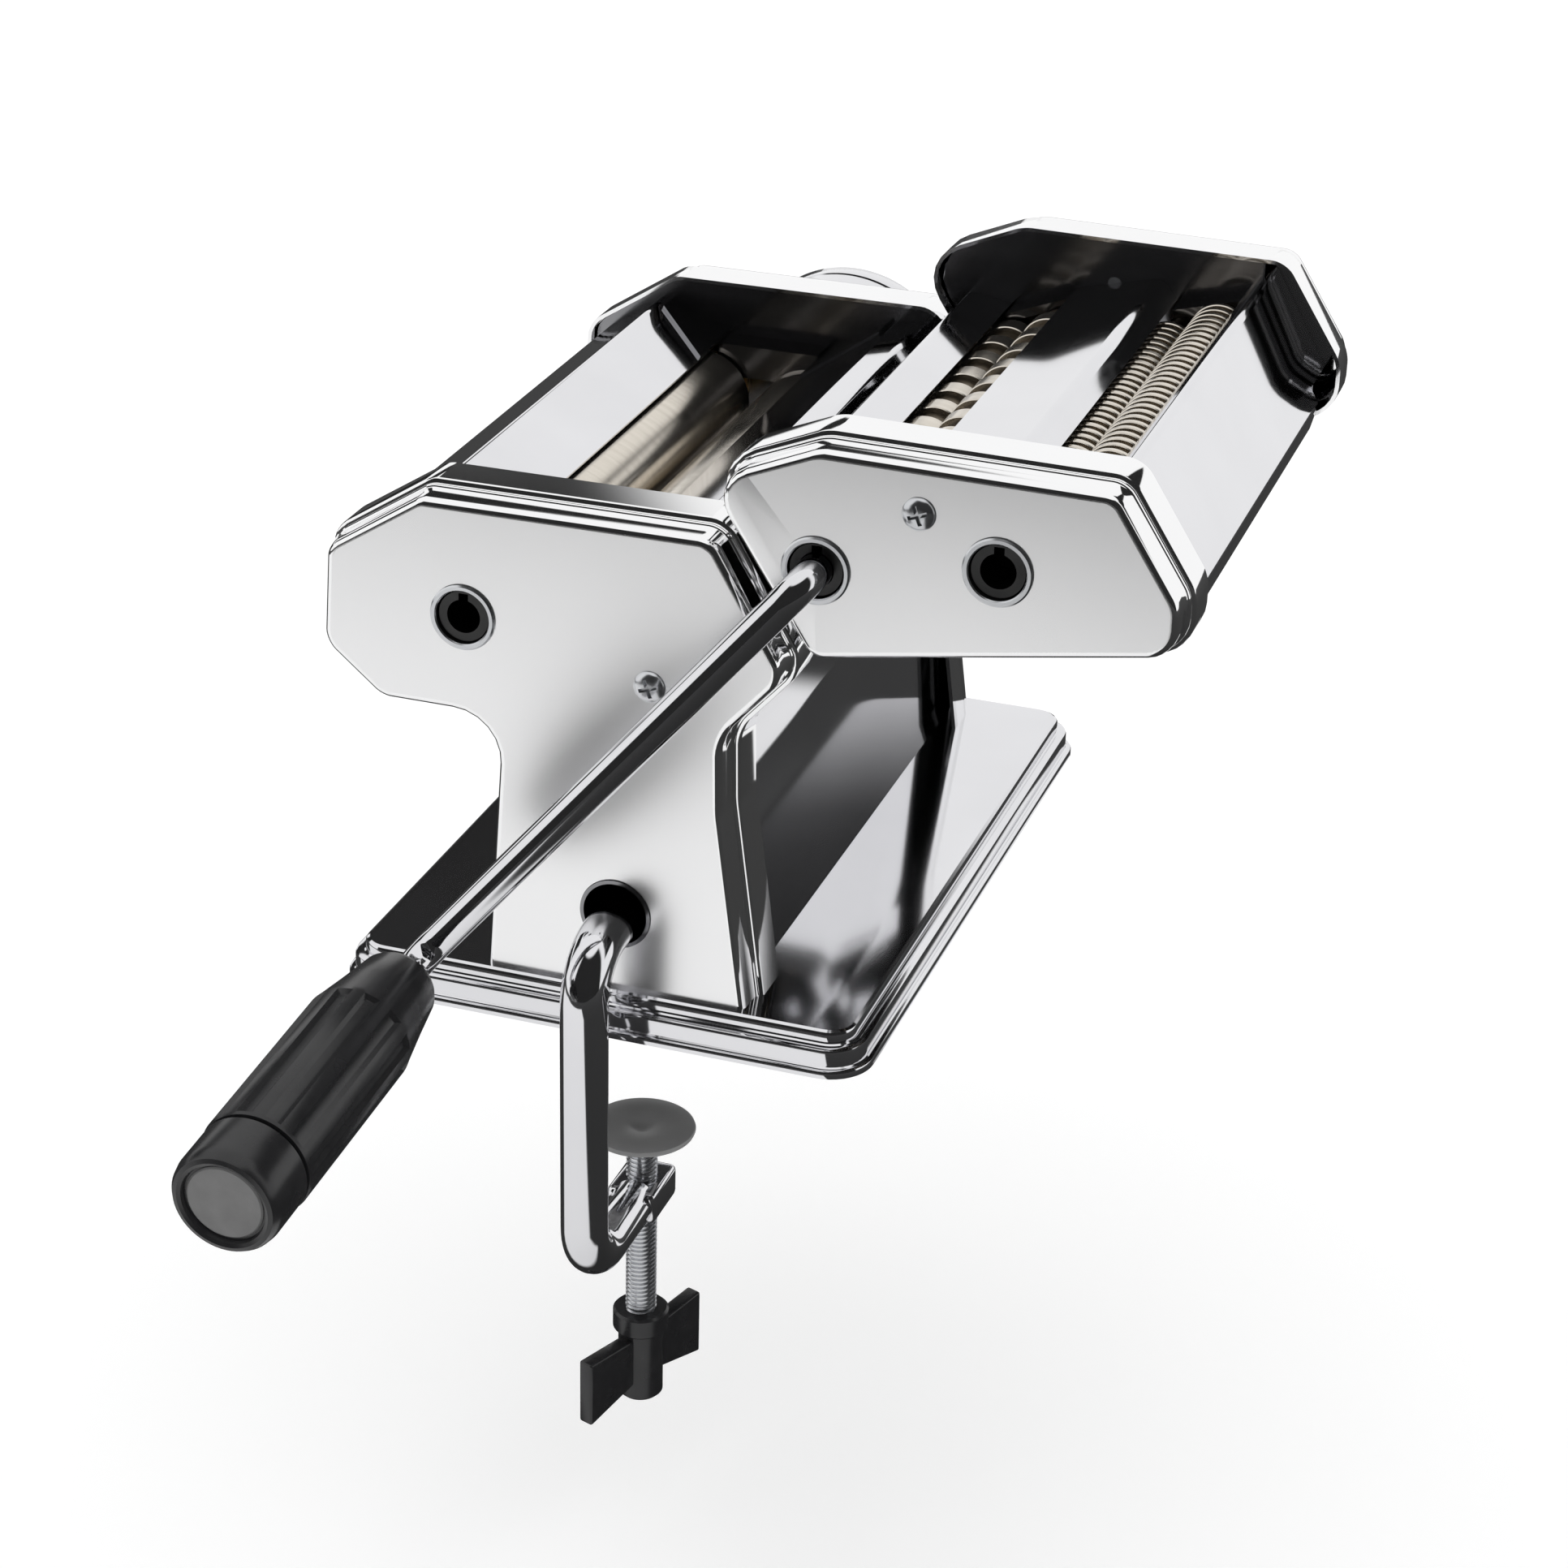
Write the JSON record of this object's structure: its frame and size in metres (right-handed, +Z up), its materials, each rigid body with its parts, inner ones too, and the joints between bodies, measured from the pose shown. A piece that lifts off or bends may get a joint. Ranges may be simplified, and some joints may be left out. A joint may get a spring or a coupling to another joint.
{
  "type": "pasta machine",
  "caption": "Hand cranked chrome pasta machine with smooth rollers, a clip-on cutter head, a crank and a screw clamp for the table edge.",
  "frame": {"origin": "on the table plane, under the centre of the base", "axes": "+Z up, +X to the cutter head, -Y to the crank side, +Y to the dial side"},
  "size_m": [0.2078, 0.3452, 0.2752],
  "materials": {
    "polished_chrome": "polished chrome plate on steel sheet",
    "frame_steel": "plain satin steel",
    "gear_steel": "machined steel with a film of oil",
    "roller_nickel": "smooth satin nickel with a warm tone",
    "zinc_plate": "bright zinc plate",
    "bush_brass": "sintered bronze",
    "foot_rubber": "matte black rubber",
    "black_plastic": "moulded black plastic, half gloss"
  },
  "bodies": {
    "machine_frame": {"base_plate": "polished_chrome", "rubber_feet": "foot_rubber", "crank_side_cover": "polished_chrome", "dial_side_cover": "polished_chrome", "crank_side_frame": "frame_steel", "dial_side_frame": "frame_steel", "hopper_left_panel": "polished_chrome", "hopper_right_panel": "polished_chrome", "neck_left_panel": "polished_chrome", "neck_right_panel": "polished_chrome", "hopper_end_guards": "frame_steel", "tie_rods": "frame_steel", "clamp_socket_tube": "frame_steel", "drive_bushes": "bush_brass", "roller_scrapers": "frame_steel", "main_socket_ring": "polished_chrome", "dial_detent_plate": "polished_chrome", "cover_screws": "zinc_plate", "cutter_rails": "frame_steel"},
    "drive_roller_set": {"drive_roller": "roller_nickel", "drive_gear": "gear_steel", "drive_socket": "zinc_plate"},
    "roller_carriage": {"roller_carriers": "frame_steel"},
    "adjustable_roller_set": {"adjustable_roller": "roller_nickel", "adjustable_gear": "gear_steel"},
    "dial_shaft_set": {"dial_shaft": "frame_steel", "dial_spring": "frame_steel"},
    "dial_knob": {"thickness_dial": "polished_chrome", "dial_cap": "polished_chrome"},
    "clamp_arm": {"clamp_bar": "polished_chrome"},
    "clamp_foot": {"clamp_pad": "zinc_plate"},
    "clamp_screw_set": {"clamp_screw": "zinc_plate", "clamp_wing_knob": "black_plastic"},
    "cutter_head": {"cutter_crank_side_cover": "polished_chrome", "cutter_far_side_cover": "polished_chrome", "cutter_crank_side_frame": "frame_steel", "cutter_far_side_frame": "frame_steel", "cutter_left_panel": "polished_chrome", "cutter_middle_panel": "polished_chrome", "cutter_right_panel": "polished_chrome", "cutter_end_guards": "frame_steel", "cutter_tie_rods": "frame_steel", "cutter_socket_rings": "polished_chrome", "cutter_brackets": "frame_steel", "wide_combs": "frame_steel", "narrow_combs": "frame_steel", "cutter_cover_screws": "zinc_plate"},
    "wide_drive_set": {"wide_drive_roller": "roller_nickel", "wide_drive_gear": "gear_steel", "wide_socket": "zinc_plate"},
    "wide_driven_set": {"wide_driven_roller": "roller_nickel", "wide_driven_gear": "gear_steel"},
    "narrow_drive_set": {"narrow_drive_roller": "roller_nickel", "narrow_drive_gear": "gear_steel", "narrow_socket": "zinc_plate"},
    "narrow_driven_set": {"narrow_driven_roller": "roller_nickel", "narrow_driven_gear": "gear_steel"},
    "crank": {"crank_arm": "polished_chrome"},
    "grip": {"crank_grip": "black_plastic", "grip_end_cap": "black_plastic"}
  },
  "joints": [
    {"name": "main_drive_spin", "type": "hinge", "parent": "machine_frame", "child": "drive_roller_set", "pos_m": [-0.03461, 0, 0.10188], "axis": [0, 1, 0], "continuous": true},
    {"name": "dial_turn", "type": "hinge", "parent": "machine_frame", "child": "dial_shaft_set", "pos_m": [-0.00622, 0, 0.09839], "axis": [0, -1, 0], "range_deg": [0, 240]},
    {"name": "dial_pull", "type": "slide", "parent": "dial_shaft_set", "child": "dial_knob", "axis": [0, 1, 0], "range_m": [0, 0.003], "stiffness_N_per_m": 400, "deforming": ["dial_spring"]},
    {"name": "roller_gap", "type": "slide", "parent": "machine_frame", "child": "roller_carriage", "axis": [-0.9925, 0, 0.1219], "range_m": [0, 0.0022]},
    {"name": "adjustable_spin", "type": "hinge", "parent": "roller_carriage", "child": "adjustable_roller_set", "pos_m": [-0.00622, 0, 0.09839], "axis": [0, 1, 0], "continuous": true},
    {"name": "clamp_pull", "type": "slide", "parent": "machine_frame", "child": "clamp_arm", "axis": [0, -1, 0], "range_m": [0, 0.04]},
    {"name": "clamp_pad_rise", "type": "slide", "parent": "clamp_arm", "child": "clamp_foot", "axis": [0, 0, 1], "range_m": [-0.008, 0.027]},
    {"name": "clamp_screw_turn", "type": "hinge", "parent": "clamp_foot", "child": "clamp_screw_set", "pos_m": [0.00351, -0.076, -0.06], "axis": [0, 0, 1], "range_deg": [-2304, 7776]},
    {"name": "cutter_lift", "type": "slide", "parent": "machine_frame", "child": "cutter_head", "axis": [-0.5072, 0, 0.8618], "range_m": [0, 0.05]},
    {"name": "wide_drive_spin", "type": "hinge", "parent": "cutter_head", "child": "wide_drive_set", "pos_m": [0.0509, 0, 0.12698], "axis": [0, 1, 0], "continuous": true},
    {"name": "wide_driven_spin", "type": "hinge", "parent": "cutter_head", "child": "wide_driven_set", "pos_m": [0.06341, 0, 0.1328], "axis": [0, 1, 0], "continuous": true},
    {"name": "narrow_drive_spin", "type": "hinge", "parent": "cutter_head", "child": "narrow_drive_set", "pos_m": [0.09261, 0, 0.13307], "axis": [0, 1, 0], "continuous": true},
    {"name": "narrow_driven_spin", "type": "hinge", "parent": "cutter_head", "child": "narrow_driven_set", "pos_m": [0.10513, 0, 0.13888], "axis": [0, 1, 0], "continuous": true},
    {"name": "crank_pull", "type": "slide", "parent": "wide_drive_set", "child": "crank", "axis": [0, -1, 0], "range_m": [0, 0.03]},
    {"name": "grip_spin", "type": "hinge", "parent": "crank", "child": "grip", "pos_m": [-0.03061, -0.131, 0.03129], "axis": [0, -0.9976, -0.0698], "continuous": true}
  ],
  "couplings": [
    {"joint": "adjustable_spin", "follows": "main_drive_spin", "ratio": -1},
    {"joint": "dial_turn", "follows": "roller_gap", "rad_per_m": 1904},
    {"joint": "clamp_screw_turn", "follows": "clamp_pad_rise", "rad_per_m": 5026.5},
    {"joint": "wide_driven_spin", "follows": "wide_drive_spin", "ratio": -1},
    {"joint": "narrow_driven_spin", "follows": "narrow_drive_spin", "ratio": -1}
  ]
}
